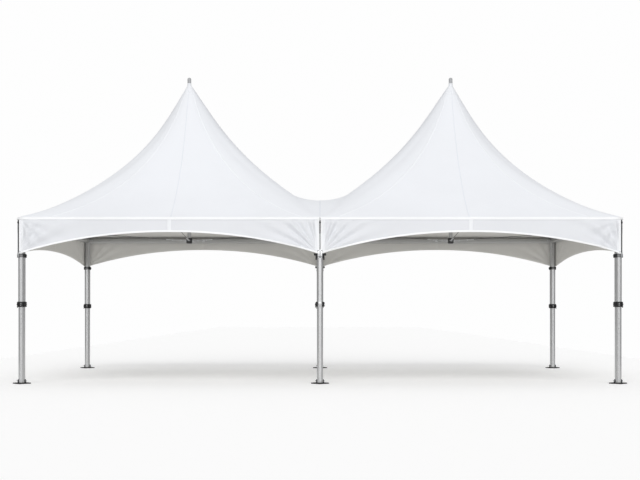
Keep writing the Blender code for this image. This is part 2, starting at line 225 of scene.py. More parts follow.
class Finish:
    """A node tree being made: node() adds any node and hands back one of its outputs."""

    def __init__(self, name, tree=None):
        if tree is None:
            self.material = bpy.data.materials.new(name)
            self.material.use_nodes = True
            tree = self.material.node_tree
            self.shader = tree.nodes["Principled BSDF"]
        self.tree = tree

    def node(self, kind, settings, inputs, output=0):
        made = self.tree.nodes.new("ShaderNode" + kind)
        for name, value in settings.items():
            setattr(made, name, value)
        for socket, value in inputs.items():
            self.feed(made.inputs[socket], value)
        return Wire(self, made.outputs[output])

    def feed(self, socket, value):
        if isinstance(value, Wire):
            self.tree.links.new(value.socket, socket)
        else:
            socket.default_value = value

    def surface(self, **inputs):
        for name, value in inputs.items():
            self.feed(self.shader.inputs[name.replace("_", " ")], value)
        return self.material

    def place(self):
        return self.node("TexCoord", {}, {}, "Object")

    def noise(self, scale, detail, roughness=0.5, stretch=None):
        vector = self.place()
        if stretch:
            vector = self.node("Mapping", {}, {"Vector": vector, "Scale": stretch})
        inputs = {"Vector": vector, "Scale": scale, "Detail": detail, "Roughness": roughness}
        return self.node("TexNoise", {}, inputs)

    def part_of(self, vector, axis):
        """One of a place's or a direction's three values."""
        return self.node("SeparateXYZ", {}, {0: vector}, axis)

    def between(self, value, low, high, to_low=0.0, to_high=1.0):
        """A value taken from one range to another, smoothly and held at its ends."""
        inputs = {0: value, 1: low, 2: high, 3: to_low, 4: to_high}
        return self.node("MapRange", {"interpolation_type": "SMOOTHSTEP"}, inputs)

    def blend(self, share, first, second):
        """From one colour to another."""
        inputs = {0: share, 6: first, 7: second}
        return self.node("Mix", {"data_type": "RGBA"}, inputs, 2)

    def bump(self, height, distance, strength, onto=None):
        inputs = {"Height": height, "Distance": distance, "Strength": strength}
        if onto:
            inputs["Normal"] = onto
        return self.node("Bump", {}, inputs)


def shade(colour, by=1.0):
    return (colour[0] * by, colour[1] * by, colour[2] * by, 1.0)


# Finishes

X, Y, Z = range(3)
FABRIC_DUST = (0.55, 0.52, 0.46, 1.0)
GROUND_DUST = (0.30, 0.28, 0.25, 1.0)
BARE_STEEL = (0.32, 0.31, 0.30, 1.0)
CABLE_GREY = (0.10, 0.10, 0.10)


def coated_fabric(name, colour, roughness, soiling):
    """Coated polyester: faint cloudy tone, a fine weave under the coat and a little soil low down."""
    finish = Finish(name)
    clouds = finish.noise(0.8, 4.0, 0.55)
    handling = finish.noise(9.0, 5.0, 0.6, (1.0, 1.0, 0.35))
    tone = finish.blend(finish.between(clouds, 0.3, 0.7), shade(colour, 0.985), shade(colour, 1.01))
    low_down = 1 - finish.between(finish.part_of(finish.place(), Z), 2.00, 2.20)
    dust = finish.between(handling, 0.52, 0.78) * low_down * soiling
    worn = finish.blend(dust, tone, FABRIC_DUST)
    threads = ((420.0, 420.0, 12.0), (12.0, 12.0, 420.0))
    weave = sum(finish.noise(1.0, 1.0, stretch=thread) for thread in threads)
    slack = finish.noise(3.2, 2.0)
    normal = finish.bump(weave, 0.0002, 0.35, onto=finish.bump(slack, 0.004, 0.5))
    rough = finish.between(handling, 0.3, 0.7, roughness - 0.05, roughness + 0.06)
    return finish.surface(Base_Color=worn, Roughness=rough, Normal=normal, Specular_IOR_Level=0.15)


def drawn_aluminium(name, colour, roughness, along):
    """Anodised tube with fine lines along its draw and a few dull rub marks."""
    finish = Finish(name)
    scale = [160.0, 160.0, 160.0]
    scale[along] = 1.5
    lines = finish.noise(1.0, 4.0, stretch=tuple(scale))
    rubs = finish.noise(7.0, 5.0, 0.6)
    dull = finish.between(rubs, 0.5, 0.75)
    tone = finish.blend(dull, shade(colour), shade(colour, 0.94))
    rough = finish.between(lines, 0.3, 0.7, roughness - 0.04, roughness + 0.05) + dull * 0.05
    normal = finish.bump(lines, 0.0002, 0.08)
    return finish.surface(Base_Color=tone, Roughness=rough, Metallic=0.8, Normal=normal)


def zinc_plate(name, colour, roughness):
    """Plated steel with a mottled, slightly cloudy sheen."""
    finish = Finish(name)
    mottle = finish.noise(90.0, 4.0, 0.6)
    tone = finish.blend(finish.between(mottle, 0.3, 0.7), shade(colour, 0.82), shade(colour, 1.08))
    rough = finish.between(mottle, 0.3, 0.7, roughness - 0.08, roughness + 0.1)
    normal = finish.bump(mottle, 0.0002, 0.3)
    return finish.surface(Base_Color=tone, Roughness=rough, Metallic=1.0, Normal=normal)


def moulded_coat(name, colour, roughness, worn=3.2):
    """Moulded or powder-coated parts: fine grain, paler where hands rub."""
    finish = Finish(name)
    grain = finish.noise(900.0, 2.0)
    rubs = finish.noise(24.0, 5.0, 0.65)
    greyed = finish.between(rubs, 0.55, 0.8) * 0.4
    tone = finish.blend(greyed, shade(colour), shade(colour, worn))
    rough = finish.between(rubs, 0.3, 0.8, roughness, roughness + 0.12)
    normal = finish.bump(grain, 0.0002, 0.3)
    return finish.surface(Base_Color=tone, Roughness=rough, Normal=normal)


def foot_paint(name, colour, roughness):
    """Dark paint on plate steel, scuffed to bare metal in spots and dusty near the ground."""
    finish = Finish(name)
    scuffs = finish.noise(38.0, 6.0, 0.7)
    bare = finish.between(scuffs, 0.63, 0.70)
    near_ground = 1 - finish.between(finish.part_of(finish.place(), Z), 0.0, 0.030)
    dusty = near_ground * finish.between(scuffs, 0.35, 0.6) * 0.12
    tone = finish.blend(bare, shade(colour), BARE_STEEL)
    tone = finish.blend(dusty, tone, GROUND_DUST)
    rough = finish.between(scuffs, 0.4, 0.7, roughness, roughness - 0.15) + dusty * 0.3
    normal = finish.bump(scuffs, 0.0004, 0.4)
    return finish.surface(Base_Color=tone, Roughness=rough, Metallic=bare * 0.5, Normal=normal,
                          Specular_IOR_Level=0.0)


def twisted_cable(name):
    """Twisted wire cable: diagonal ridges round the strand."""
    finish = Finish(name)
    wave = {"Vector": finish.place(), "Scale": 60.0}
    lay = finish.node("TexWave", {"bands_direction": "DIAGONAL"}, wave, 1)
    mottle = finish.noise(60.0, 3.0)
    tone = finish.blend(finish.between(mottle, 0.3, 0.7), shade(CABLE_GREY), shade(CABLE_GREY, 2.0))
    rough = finish.between(mottle, 0.3, 0.7, 0.38, 0.52)
    normal = finish.bump(lay, 0.0008, 0.6)
    return finish.surface(Base_Color=tone, Roughness=rough, Metallic=1.0, Normal=normal)


ROOF_FABRIC = coated_fabric("coated_roof_fabric", (0.845, 0.862, 0.897), 0.46, 0.0)
# The skirts are the roof's own cloth made darker: painted shade for hanging panels that get less light than
# the roof.
SKIRT_FABRIC_PAINTED_SHADE = coated_fabric("coated_skirt_fabric_painted_shade", (0.752, 0.765, 0.794), 0.46, 0.22)
DOUBLED_FABRIC = coated_fabric("doubled_skirt_fabric", (0.835, 0.848, 0.873), 0.44, 0.22)
SEAM_FABRIC = coated_fabric("welded_seam_fabric", (0.895, 0.912, 0.945), 0.44, 0.0)
# Doubled hems and the eave band are paler cloth; on the eave band the pale colour is also a painted
# highlight along the rolled edge.
HEM_AND_HIGHLIGHT_FABRIC = coated_fabric("doubled_hem_and_highlight_fabric", (0.935, 0.942, 0.955), 0.42, 0.30)
STITCHED_SEAM = coated_fabric("stitched_seam_fabric", (0.800, 0.822, 0.872), 0.50, 0.0)
# Inner faces: the white cloth painted warm grey, painted shade under the roof and behind the skirts.
LINING_PAINTED_SHADE = coated_fabric("inner_face_painted_shade", (0.69, 0.68, 0.65), 0.62, 0.0)
LINING_HEM_PAINTED_SHADE = coated_fabric("inner_hem_painted_shade", (0.72, 0.71, 0.68), 0.62, 0.1)
LEG_METAL = drawn_aluminium("drawn_leg_aluminium", (0.530, 0.534, 0.538), 0.30, Z)
# Front and back eave beams: the legs' aluminium made darker, painted shade for beams that sit under the
# roof.
BEAM_METAL_PAINTED_SHADE = drawn_aluminium("drawn_beam_aluminium_painted_shade", (0.40, 0.40, 0.395), 0.38, X)
CROSS_BEAM_METAL = drawn_aluminium("drawn_cross_beam_aluminium", (0.47, 0.47, 0.465), 0.38, Y)
MAST_METAL = drawn_aluminium("drawn_mast_aluminium", (0.50, 0.505, 0.51), 0.38, Z)
ZINC = zinc_plate("zinc_plated_steel", (0.56, 0.57, 0.58), 0.38)
DARK_THREAD = zinc_plate("oiled_thread_steel", (0.22, 0.22, 0.225), 0.45)
BRIGHT_PLATE = zinc_plate("bright_bracket_steel", (0.78, 0.79, 0.80), 0.33)
CLAMP_BLACK = moulded_coat("black_clamp_moulding", (0.012, 0.012, 0.013), 0.50)
CAP_GREY = moulded_coat("grey_mast_cap", (0.430, 0.436, 0.448), 0.62, 1.2)
HUB_BLACK = moulded_coat("black_hub_coating", (0.028, 0.028, 0.030), 0.40)
FOOT_PAINT = foot_paint("dark_foot_paint", (0.032, 0.032, 0.035), 0.75)
CABLE = twisted_cable("twisted_cable")


# Building pieces

def in_scene(name, data):
    """A new object, put in the scene."""
    made = bpy.data.objects.new(name, data)
    bpy.context.scene.collection.objects.link(made)
    return made


def mesh_of(shape, name):
    """The mesh of a shape that is finished."""
    mesh = bpy.data.meshes.new(name)
    shape.to_mesh(mesh)
    shape.free()
    return mesh


def merge(shape, mesh):
    """Moves a mesh into a shape."""
    shape.from_mesh(mesh)
    bpy.data.meshes.remove(mesh)


def shade_with_edges(mesh, angle):
    mesh.shade_smooth()
    mesh.set_sharp_from_angle(angle=angle)


def soften_edges(part, width):
    """Rounds the sharp edges of a part."""
    sharp = [e for e in part.edges if len(e.link_faces) == 2 and e.calc_face_angle() > SHARP_EDGE]
    if width:
        bmesh.ops.bevel(part, geom=sharp, offset=width, segments=2, profile=0.5,
                        affect="EDGES", clamp_overlap=True)


def pointing(way):
    """The turn that takes Z to a direction."""
    return Vector(UP).rotation_difference(Vector(way)).to_matrix().to_4x4()


class Fitting:
    """A piece put together from blocks, turnings, rods and bolts, in the finishes that it is given."""

    def __init__(self, *finishes):
        self.shape = bmesh.new()
        self.finishes = finishes
        self.coat = 0

    def use(self, finish):
        """The finish of what is added from here on."""
        self.coat = self.finishes.index(finish)

    def take(self, part, place):
        bmesh.ops.recalc_face_normals(part, faces=part.faces)
        bmesh.ops.transform(part, matrix=place, verts=part.verts)
        for face in part.faces:
            face.material_index = self.coat
        merge(self.shape, mesh_of(part, "part"))

    def block(self, size, at, soft, turn=0.0):
        """A block with rounded edges, turned about its upright axis."""
        part = bmesh.new()
        bmesh.ops.create_cube(part, size=1.0)
        bmesh.ops.scale(part, vec=size, verts=part.verts)
        soften_edges(part, soft)
        self.take(part, Matrix.Translation(at) @ Matrix.Rotation(turn, 4, "Z"))

    def turned(self, profile, at=(0, 0, 0), way=UP, steps=20, soft=0.0, turn=0.0):
        """A profile of (radius, height) spun about its axis."""
        part = bmesh.new()
        points = [part.verts.new((radius, 0, height)) for radius, height in profile]
        lines = [part.edges.new(pair) for pair in zip(points, points[1:])]
        bmesh.ops.spin(part, geom=points + lines, cent=(0, 0, 0), axis=UP,
                       angle=math.tau, steps=steps, use_duplicate=False)
        bmesh.ops.remove_doubles(part, verts=part.verts, dist=0.00001)
        soften_edges(part, soft)
        self.take(part, Matrix.Translation(at) @ pointing(way) @ Matrix.Rotation(turn, 4, "Z"))

    def rod(self, radius, low, high, at, way, steps=20):
        """A plain round rod from one height to another along its axis."""
        self.turned([(0, high), (radius, high), (radius, low), (0, low)], at, way, steps)

    def octagon(self, profile, soft):
        """Turned with eight flats, the radii across the flats."""
        wide = [(radius * OCTAGON, height) for radius, height in profile]
        self.turned(wide, steps=8, soft=soft, turn=math.pi / 8)

    def ring(self, outer, bore, low, high, soft):
        """A band or tube with eight flats, inside and out."""
        self.octagon([(outer, high), (outer, low), (bore, low), (bore, high), (outer, high)], soft)

    def bolt(self, at, way, across, head):
        """Washer and hexagon head on a face."""
        self.rod(across * 0.72, 0, WASHER, at, way)
        corner = across / math.sqrt(3)
        top = WASHER + head
        edge = [(corner * 0.84, top), (corner, WASHER + head * 0.8), (corner, WASHER)]
        self.turned([(0, top), *edge, (0, WASHER)], at, way, steps=6)

    def knob(self, at, way, radius, length):
        """Small lobed hand knob."""
        profile = [(0, length), (radius * 0.7, length), (radius, length * 0.72), (radius, length * 0.3),
                   (radius * 0.6, length * 0.12), (radius * 0.5, 0), (0, 0)]
        self.turned(profile, at, way, steps=10)

    def mesh(self, name):
        made = mesh_of(self.shape, name)
        for finish in self.finishes:
            made.materials.append(finish)
        shade_with_edges(made, SHARP_SHADING)
        return made


def piece(name, mesh, stands_for=(), place=None, body="tent_frame"):
    """Puts a finished mesh in the tent, on its body."""
    made = in_scene(name, mesh)
    if place:
        made.matrix_world = place
    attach(made, body)
    if stands_for:
        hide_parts(*stands_for)
    return made


def drilled(mesh, holes):
    """A mesh with round holes through it: each hole is a point, a direction, a radius and a length."""
    bits = Fitting()
    for at, way, radius, length in holes:
        bits.rod(radius, -length / 2, length / 2, at, way, 16)
    stock = in_scene("stock", mesh)
    drill = in_scene("drill", bits.mesh("drill"))
    cut = stock.modifiers.new("Holes", "BOOLEAN")
    cut.operation = "DIFFERENCE"
    cut.object = drill
    bpy.context.view_layer.update()
    made = bpy.data.meshes.new_from_object(stock.evaluated_get(bpy.context.evaluated_depsgraph_get()))
    bpy.data.objects.remove(stock)
    bpy.data.objects.remove(drill)
    shade_with_edges(made, DRILLED_SHADING)
    return made


def rod_offset(side, end):
    """From a post's axis to the axis of its tension rod."""
    if side:
        return Vector((side * CORNER_ROD_OFFSET, end * CORNER_ROD_OFFSET, 0))
    return Vector((0, end * (HALF_TUBE + ROD_STAND_OFF), 0))


# Legs

def foot_mesh():
    """Square plate set cornerwise, with two ears, their welds and the cross bolt."""
    plate = Fitting()
    side = PLATE_SIDE - 0.0004
    plate.block((side, side, PLATE_THICK), (0, 0, PLATE_THICK / 2), 0.0025, math.pi / 4)
    reach = PLATE_SIDE / math.sqrt(2) - 0.028
    holes = [((x * reach, y * reach, 0), UP, 0.008, 0.1) for x, y in QUARTERS]
    foot = Fitting(FOOT_PAINT, ZINC)
    merge(foot.shape, drilled(plate.mesh("foot"), holes))
    near = INNER_TUBE / 2 + PLAY
    far = near + EAR_THICK
    ear = (EAR_THICK, EAR_WIDTH, EAR_TOP - PLATE_THICK)
    weld = PLATE_THICK + 0.0015
    for way in (-1, 1):
        middle = way * (near + EAR_THICK / 2)
        foot.block(ear, (middle, 0, (EAR_TOP + PLATE_THICK) / 2), 0.004)
        foot.rod(0.0042, -0.024, 0.024, (way * (far + 0.001), 0, weld), (0, 1, 0), WELD_SIDES)
        for end in (-1, 1):
            edge = (middle, end * (EAR_WIDTH / 2 + 0.001), weld)
            foot.rod(0.0038, -0.0055, 0.0055, edge, (1, 0, 0), WELD_SIDES)
    foot.use(ZINC)
    for way, head in ((-1, 0.008), (1, 0.011)):
        foot.bolt((way * far, 0, CROSS_BOLT_HEIGHT), (way, 0, 0), 0.019, head)
    bolt_end = [(0, 0.012), (0.0055, 0.012), (0.006, 0.010), (0.006, 0), (0, 0)]
    foot.turned(bolt_end, (-far - 0.009, 0, CROSS_BOLT_HEIGHT), (-1, 0, 0), 16)
    return foot.mesh("foot_plate")


def lower_leg_mesh():
    """Inner tube with its row of height holes, front and back."""
    tube = Fitting(LEG_METAL)
    outer = INNER_TUBE / 2
    tube.ring(outer, outer - TUBE_WALL, PLATE_THICK + PLAY, LOWER_LEG_TOP, 0.0009)
    first = COLLAR_BOTTOM - 0.03
    holes = [((0, 0, first - step * HOLE_PITCH), (0, 1, 0), 0.0055, 0.2) for step in range(HEIGHT_HOLES)]
    return drilled(tube.mesh("lower_leg"), holes)


def collar_mesh(lever_side, open_front):
    """Two-part clamp with ribbed jaws, bolts and a locking lever."""
    outer = HALF_TUBE + BAND_THICK
    lower_bore = INNER_TUBE / 2 + BORE_PLAY
    upper_bore = HALF_TUBE + BORE_PLAY
    step = COLLAR_BOTTOM + 0.010
    middle = (COLLAR_BOTTOM + COLLAR_TOP) / 2
    height = COLLAR_TOP - COLLAR_BOTTOM
    collar = Fitting(CLAMP_BLACK, ZINC, LEG_METAL)
    collar.use(LEG_METAL if open_front else CLAMP_BLACK)
    collar.octagon([(outer, COLLAR_TOP), (outer, COLLAR_BOTTOM), (lower_bore, COLLAR_BOTTOM),
                    (lower_bore, step), (upper_bore, step), (upper_bore, COLLAR_TOP),
                    (outer, COLLAR_TOP)], 0.002)
    collar.use(CLAMP_BLACK)
    for way in (-1, 1):
        collar.block((0.014, 0.066, height - 0.010), (way * (HALF_TUBE + 0.011), 0, middle), 0.004)
        for end in (-1, 1):
            jaw = (way * (HALF_TUBE - 0.006), end * 0.044, middle)
            collar.block((0.030, 0.016, height - 0.004), jaw, 0.003, way * end * math.pi / 4)
        for rib in (-0.022, 0.0, 0.022):
            collar.block((0.018, 0.060, 0.005), (way * (HALF_TUBE + 0.0105), 0, middle + rib), 0.0015)
    if not open_front:
        for rib in (middle - 0.031, middle + 0.031):
            collar.ring(outer + 0.002, outer - 0.003, rib - 0.004, rib + 0.004, 0.001)
    lever_x = lever_side * (outer + 0.012)
    collar.block((0.009, 0.019, 0.070), (lever_x, 0, COLLAR_BOTTOM + 0.024), 0.003)
    collar.rod(0.009, 0, 0.028, (lever_x, 0.014, middle), (0, -1, 0))
    collar.use(ZINC)
    bolt_x = -lever_side * (HALF_TUBE + 0.018)
    for level in (-0.012, 0.012):
        collar.bolt((bolt_x, 0, middle + level * 1.6), (-lever_side, 0, 0), 0.013, 0.006)
        collar.bolt((0, -outer, middle + level), (0, -1, 0), 0.008, 0.003)
    return collar.mesh("leg_collar")


def tensioner_mesh(side, end):
    """Band clamp, hand knobs and the tension rod that holds the skirt's tips down."""
    outer = HALF_TUBE + BAND_THICK
    bore = HALF_TUBE + BORE_PLAY
    low = CLAMP_BOTTOM + 0.006
    high = CLAMP_TOP - 0.006
    middle = (CLAMP_BOTTOM + CLAMP_TOP) / 2
    clamp = Fitting(ZINC, CLAMP_BLACK, BRIGHT_PLATE, DARK_THREAD)
    clamp.use(DARK_THREAD if side else ZINC)
    clamp.ring(outer - 0.003, bore, low, high, 0.0015)
    clamp.use(CLAMP_BLACK)
    for way in (-1, 1):
        for face in (-1, 1):
            jaw = (way * (HALF_TUBE - 0.003), face * 0.043, middle)
            clamp.block((0.024, 0.018, 0.058), jaw, 0.003, way * face * math.pi / 4)
        if side == 0:
            lower_block = (way * (HALF_TUBE + 0.009), end * 0.010, CLAMP_BOTTOM - 0.012)
            clamp.block((0.020, 0.050, 0.064), (way * (HALF_TUBE + 0.008), end * 0.010, middle), 0.004)
            clamp.knob((way * (HALF_TUBE + 0.012), end * 0.012, middle + 0.022), (way, 0, 0), 0.020, 0.032)
            clamp.block((0.020, 0.034, 0.040), lower_block, 0.005)
        elif way != side:
            clamp.block((0.014, 0.050, 0.052), (way * (HALF_TUBE + 0.009), 0, middle), 0.004)
            clamp.knob((way * (HALF_TUBE + 0.015), 0, middle), (way, 0, 0), 0.012, 0.010)
    if side:
        clamp.ring(outer, bore, high - 0.006, high + 0.004, 0.0015)
    rod = rod_offset(side, end)
    distance = rod.length
    outward = rod.normalized()
    near = HALF_TUBE * OCTAGON if side else HALF_TUBE
    arm = outward * ((near + distance + 0.012) / 2)
    arm.z = CLAMP_BOTTOM + 0.026
    clamp.use(CLAMP_BLACK if side else ZINC)
    clamp.block((distance + 0.012 - near, 0.018, 0.024), arm, 0.003, math.atan2(outward.y, outward.x))
    if side == 0:
        face = end * outer
        tongue = [(0, 0.002), (0.035, 0.002), (0.035, -0.002), (0, -0.002)]
        clamp.use(BRIGHT_PLATE)
        clamp.block((0.070, 0.004, 0.116), (0, face, middle + 0.034), 0.0012)
        clamp.turned(tongue, (0, face, middle - 0.024), (0, end, 0), 4, 0.001)
        clamp.use(CLAMP_BLACK)
        for across, level in ((-0.027, 0.078), (0.027, 0.078), (0.0, 0.002), (0.0, -0.030)):
            clamp.bolt((across, face + end * 0.002, middle + level), (0, end, 0), 0.012, 0.004)

    def on_rod(height, profile, steps=20):
        clamp.turned(profile, (rod.x, rod.y, height), steps=steps)

    clamp.use(DARK_THREAD if side else ZINC)
    on_rod(CLAMP_BOTTOM + 0.020, [(0, 0.535), (0.0075, 0.533), (0.0075, 0), (0, 0)])
    clamp.use(DARK_THREAD)
    thread = [(0.0098 if step % 2 else 0.0082, 0.150 - step * 0.0025) for step in range(61)]
    on_rod(BEAM_AXIS - 0.205, [(0, 0.150), *thread, (0, 0)], 16)
    clamp.use(CLAMP_BLACK)
    on_rod(BEAM_AXIS - 0.052, [(0, 0.034), (0.009, 0.034), (0.0125, 0.029), (0.0135, 0.018),
                               (0.0125, 0.006), (0.008, 0), (0, 0)])
    on_rod(BEAM_AXIS - 0.020, [(0, 0.062), (0.004, 0.060), (0.0055, 0), (0, 0)], 16)
    clamp.use(ZINC)
    if side:
        on_rod(CLAMP_BOTTOM + 0.012, [(0, 0.066), (0.010, 0.066), (0.0125, 0.058), (0.0125, 0.008),
                                      (0.010, 0), (0, 0)])
    for height, thick in ((CLAMP_BOTTOM + 0.041, 0.011), (CLAMP_BOTTOM + 0.002, 0.009)):
        on_rod(height, [(0, thick), (0.0095, thick), (0.0105, thick - 0.002), (0.0105, 0), (0, 0)], 6)
    return clamp.mesh("valance_tensioner")


def make_legs():
    foot = foot_mesh()
    lower = lower_leg_mesh()
    for post, (side, end) in POSTS.items():
        spot = Matrix.Translation((side * HALF_LENGTH, end * HALF_DEPTH, 0))
        slide = "leg_slide_" + post
        for name, mesh, slot, body in (
                ("foot", foot, "base_plate", slide), ("inner_leg", lower, "lower_leg", slide),
                ("collar", collar_mesh(side or -1, side == 0), "leg_collar", "tent_frame"),
                ("tensioner", tensioner_mesh(side, end), "valance_tensioner", "tent_frame")):
            piece(f"{name}_{post}", mesh, [f"{slot}_{post}"], spot, body)


# Frame

def coat_frame_tubes():
    """Upper legs and beams keep the frame's own solids, with rounded corners and metal finishes."""
    for name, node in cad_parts.items():
        if name.startswith(("upper_leg_", "eave_beam_")):
            metal = CROSS_BEAM_METAL
            if name.startswith("upper_leg_"):
                metal = LEG_METAL
            elif name.startswith(("eave_beam_front", "eave_beam_back")):
                # darker aluminium: painted shade under the roof
                metal = BEAM_METAL_PAINTED_SHADE
            node.data.materials.clear()
            node.data.materials.append(metal)
            rounded = node.modifiers.new("Rounded corners", "BEVEL")
            rounded.width = TUBE_CORNER
            rounded.segments = 2
            rounded.limit_method = "ANGLE"
            rounded.angle_limit = SHARP_EDGE
            rounded.harden_normals = True


def beam_end_bolts():
    """Two bolts at each beam end into the head's spigot: on the faces that look inwards, and below."""
    bolts = Fitting(ZINC)
    left, right, down = Vector((-1, 0, 0)), Vector((1, 0, 0)), Vector((0, 0, -1))
    for side, end in POSTS.values():
        post = Vector((side * HALF_LENGTH, end * HALF_DEPTH, BEAM_AXIS))
        inward = Vector((0, -end, 0))
        beams = [(way, [inward, down]) for way in (left, right) if way.x != side]
        beams.append((inward, [Vector((-side, 0, 0)), down] if side else [right, left, down]))
        for along, faces in beams:
            for distance in (0.070, 0.105):
                for face in faces:
                    bolts.bolt(post + along * distance + face * HALF_TUBE, face, 0.015, 0.007)
    piece("beam_end_bolts", bolts.mesh("beam_end_bolts"))


# Masts

def mast_mesh():
    """Round mast with a domed cap and the crown that lifts the fabric."""
    low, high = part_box("king_pole_left")
    rim = (high.x - low.x) / 2
    top = EAVE_EDGE + PEAK_RISE * slope(rim / (BAY / 2 + FABRIC_REACH))
    top += flare(rim) - CROWN_DROP
    joint = NECK_TOP + 0.001
    mast = Fitting(MAST_METAL, CAP_GREY)
    foot = HUB_FLOOR + PLAY
    mast.turned([(0, joint), (POLE_RADIUS, joint), (POLE_RADIUS, top + 0.02), (rim - 0.006, top),
                 (rim, top - 0.004), (rim, top - 0.012), (POLE_RADIUS, top - 0.05), (POLE_RADIUS, foot),
                 (0, foot)], steps=POLE_FACETS)
    mast.use(CAP_GREY)
    angles = [math.pi / 2 * step / 10 for step in range(11)]
    dome = [(POLE_RADIUS * math.sin(angle), POLE_TOP - 0.030 + 0.030 * math.cos(angle)) for angle in angles]
    mast.turned([*dome, (POLE_RADIUS, joint + PLAY), (0, joint + PLAY)], steps=POLE_FACETS)
    return mast.mesh("mast")


def hub_mesh():
    """Cast socket with four forked ears for the stays."""
    hub = Fitting(HUB_BLACK, ZINC)
    bore = (POLE_RADIUS + 0.0005) / OCTAGON
    hub.octagon([(0, HUB_FLOOR), (bore, HUB_FLOOR), (bore, HUB_TOP), (HUB_HALF - 0.004, HUB_TOP),
                 (HUB_HALF, HUB_TOP - 0.006), (HUB_HALF, HUB_BOTTOM + 0.012),
                 (HUB_HALF - 0.012, HUB_BOTTOM), (0, HUB_BOTTOM)], 0.0015)
    hub.ring(HUB_HALF + 0.003, HUB_HALF - 0.002, HUB_TOP - 0.022, HUB_TOP - 0.010, 0.001)
    hub.use(ZINC)
    for x, y in QUARTERS:
        outward = Vector((x, y, 0))
        size = (0.026, 0.005, 0.028) if x else (0.005, 0.026, 0.028)
        for cheek in (-1, 1):
            across = Vector((-y, x, 0)) * cheek
            at = outward * EAR_REACH + across * 0.0135
            at.z = STAY_HEIGHT_AT_HUB
            hub.block(size, at, 0.002)
            hub.bolt(at + outward * 0.004 + across * 0.0025, across, 0.011, 0.004)
    return hub.mesh("mast_hub")


def stay_mesh():
    """Cable from hub to beam: eye and turnbuckle at the hub, swaged fork at the beam."""
    start = Vector((EAR_REACH, 0, STAY_HEIGHT_AT_HUB))
    finish = Vector((BAY / 2 - HALF_TUBE - PLAY, 0, BEAM_AXIS))
    length = (finish - start).length
    way = (finish - start).normalized()
    stay = Fitting(ZINC, CABLE)
    stay.turned([(0, 0.026), (0.0085, 0.026), (0.0105, 0.020), (0.0105, 0.004), (0.008, 0), (0, 0)],
                start, way)
    stay.rod(0.0055, 0.020, 0.110, start, way)
    for across in (-0.0105, 0.0105):
        stay.rod(0.0042, 0.090, 0.236, start + Vector((0, across, 0)), way, 12)
    for level in (0.084, 0.228):
        stay.turned([(0, level + 0.020), (0.0115, level + 0.020), (0.0150, level + 0.014),
                     (0.0150, level + 0.006), (0.0115, level), (0, level)], start, way)
    stay.rod(0.0052, 0.205, 0.300, start, way)
    stay.turned([(0, 0.350), (0.0070, 0.350), (0.0085, 0.340), (0.0085, 0.300), (0.0065, 0.292),
                 (0, 0.292)], start, way)
    stay.use(CABLE)
    stay.rod(0.0055, 0.345, length - 0.06, start, way, 12)
    stay.use(ZINC)
    stay.turned([(0, length - 0.012), (0.0110, length - 0.012), (0.0110, length - 0.050),
                 (0.0070, length - 0.066), (0.0070, length - 0.110), (0, length - 0.112)], start, way)
    stay.block((0.006, 0.050, 0.060), finish - Vector((0.0035, 0, 0)), 0.002)
    for level in (-0.022, 0.022):
        for across in (-0.017, 0.017):
            stay.bolt(finish + Vector((-0.0065, across, level)), (-1, 0, 0), 0.008, 0.004)
    return stay.mesh("stay")


def make_masts():
    mast = mast_mesh()
    hub = hub_mesh()
    stay = stay_mesh()
    for name, side in (("left", -1), ("right", 1)):
        spot = Matrix.Translation((side * HALF_LENGTH / 2, 0, 0))
        piece("mast_" + name, mast, ["king_pole_" + name], spot)
        piece("hub_" + name, hub, ["mast_hub_" + name], spot)
        for quarter, way in enumerate(("right", "back", "left", "front")):
            turned = spot @ Matrix.Rotation(quarter * math.pi / 2, 4, "Z")
            piece(f"cable_stay_{name}_{way}", stay, [f"stay_{name}_{way}"], turned)


# Fabric

def slope(share):
    """Height of the roof, 1 at the pole and 0 at the eave, at a share of the way out."""
    share = min(max(share, 0.0), 1.0)
    drop = math.asinh(share * math.sinh(STEEPNESS)) / STEEPNESS
    return 1.0 - drop + FULLNESS * share * (1.0 - share) ** FULLNESS_FADE


def bay_height(inward, depth):
    """One bay's roof above its eave edge; inward is measured from the pole towards the other bay."""
    across = min(abs(depth) / REACH_Y, 1.0)
    if inward > 0:
        along = inward / (BAY / 2 + SADDLE_REACH * (1.0 - across ** 2))
    else:
        along = -inward / (BAY / 2 + FABRIC_REACH)
    furthest = max(along, across)
    power = ROUND_POWER + (SQUARE_POWER - ROUND_POWER) * min(furthest, 1.0) ** 2
    rounded = (along ** power + across ** power) ** (1.0 / power)
    squared = min(furthest / EDGE_BAND, 1.0) ** EDGE_SQUARING
    return PEAK_RISE * slope(rounded * (1.0 - squared) + furthest * squared)


def smooth_step(value, low, high):
    share = min(max((value - low) / (high - low), 0.0), 1.0)
    return share * share * (3.0 - 2.0 * share)


def fan(across, up, folds, reach, seed):
    """Tension folds that spread from a held point, for a place measured from that point.

    Their height grows with the distance, as folds do that fan out, and then dies away."""
    distance = math.hypot(across, up)
    if distance > reach or distance < 0.001:
        return 0.0
    angle = math.atan2(max(up, 0.0), max(across, 0.0)) / (math.pi / 2)
    wander = noise.noise(Vector((angle * 2.5, distance * 1.5, seed)))
    ridge = math.sin(math.pi * (folds * angle + 0.16 * wander + seed * 0.37)) ** 2
    strength = 0.65 + 0.5 * noise.noise(Vector((angle * folds * 0.8, seed, 4.0)))
    far = 1.0 - smooth_step(distance, reach * 0.3, reach)
    return ridge * strength * far * min(distance / 0.35, 1.0)


